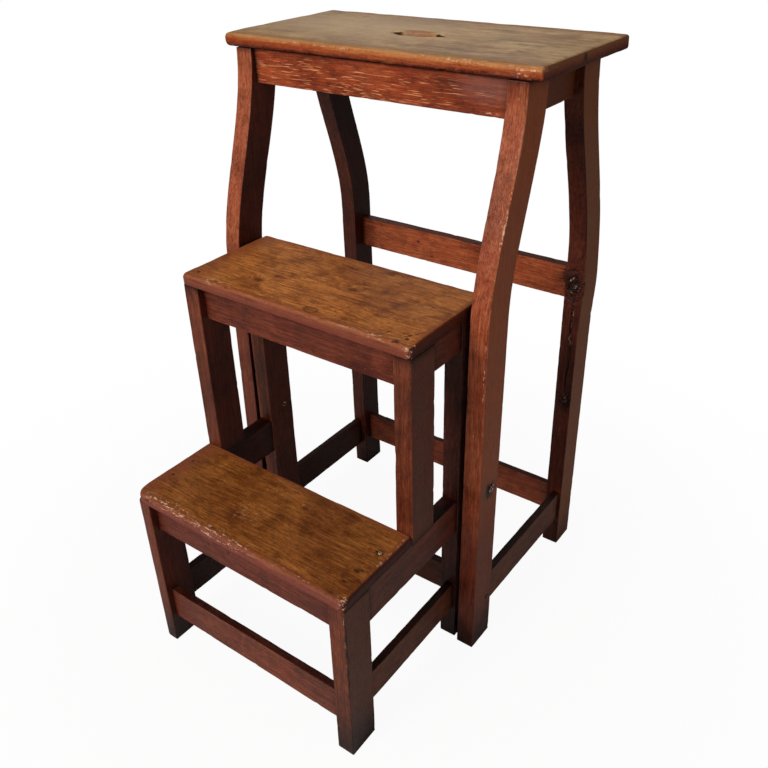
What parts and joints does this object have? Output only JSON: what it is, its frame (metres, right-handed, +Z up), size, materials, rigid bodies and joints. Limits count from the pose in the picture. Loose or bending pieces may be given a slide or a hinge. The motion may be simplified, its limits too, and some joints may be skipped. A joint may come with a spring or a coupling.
{
  "type": "metamorphic step stool",
  "caption": "Metamorphic wooden step stool: a tall stool on bowed legs with a hand-hold in its top, and a step unit that swings up and over on side pins to stow inside it.",
  "frame": {"origin": "middle of the overall box in plan, on the floor, with the step unit standing open", "axes": "+X along the treads, to the right of a person climbing; +Y from the low tread towards the back of the stool; +Z up"},
  "size_m": [0.43, 0.52, 0.75],
  "materials": {
    "oak_worn_top": "worn oak top, greyish tan with an orange-brown rounded front edge, waxed",
    "oak_golden_tread": "golden-brown worn oak treads, redder at the edges, waxed",
    "oak_stained_frame": "reddish-brown stained oak, semi-gloss wax",
    "oak_stained_stretcher": "reddish-brown stained oak, semi-gloss wax",
    "dark_iron": "dark oxidised iron"
  },
  "bodies": {
    "stool": {"stool_top_board": "oak_worn_top", "stool_leg_front_left": "oak_stained_frame", "stool_leg_front_right": "oak_stained_frame", "stool_leg_back_left": "oak_stained_frame", "stool_leg_back_right": "oak_stained_frame", "stool_apron_front": "oak_stained_frame", "stool_apron_back": "oak_stained_frame", "stool_apron_left": "oak_stained_frame", "stool_apron_right": "oak_stained_frame", "stool_stretcher_back_upper": "oak_stained_stretcher", "stool_stretcher_back_lower": "oak_stained_stretcher", "stool_stretcher_left": "oak_stained_stretcher", "stool_stretcher_right": "oak_stained_stretcher", "pivot_pin_left": "dark_iron", "pivot_pin_right": "dark_iron", "stretcher_peg_left": "oak_stained_stretcher", "stretcher_peg_right": "oak_stained_stretcher"},
    "step_unit": {"step_tread_low": "oak_golden_tread", "step_tread_mid": "oak_golden_tread", "step_leg_low_left": "oak_stained_frame", "step_leg_low_right": "oak_stained_frame", "step_post_mid_left": "oak_stained_frame", "step_post_mid_right": "oak_stained_frame", "step_leg_rear_left": "oak_stained_frame", "step_leg_rear_right": "oak_stained_frame", "step_rail_low_front": "oak_stained_frame", "step_rail_low_left": "oak_stained_frame", "step_rail_low_right": "oak_stained_frame", "step_rail_mid_front": "oak_stained_frame", "step_rail_mid_left": "oak_stained_frame", "step_rail_mid_right": "oak_stained_frame", "step_rail_mid_rear": "oak_stained_frame", "step_stretcher_front": "oak_stained_stretcher", "step_stretcher_left": "oak_stained_stretcher", "step_stretcher_right": "oak_stained_stretcher", "step_stretcher_rear": "oak_stained_stretcher", "nail_low_left_1": "dark_iron", "nail_low_left_2": "dark_iron", "nail_low_right_1": "dark_iron", "nail_low_right_2": "dark_iron", "nail_mid_left": "dark_iron", "nail_mid_right": "dark_iron"}
  },
  "joints": [
    {"name": "step_unit_swing", "type": "hinge", "parent": "stool", "child": "step_unit", "pos_m": [0, -0.0037, 0.2562], "axis": [-1, 0, 0], "range_deg": [0, 172.4]}
  ]
}
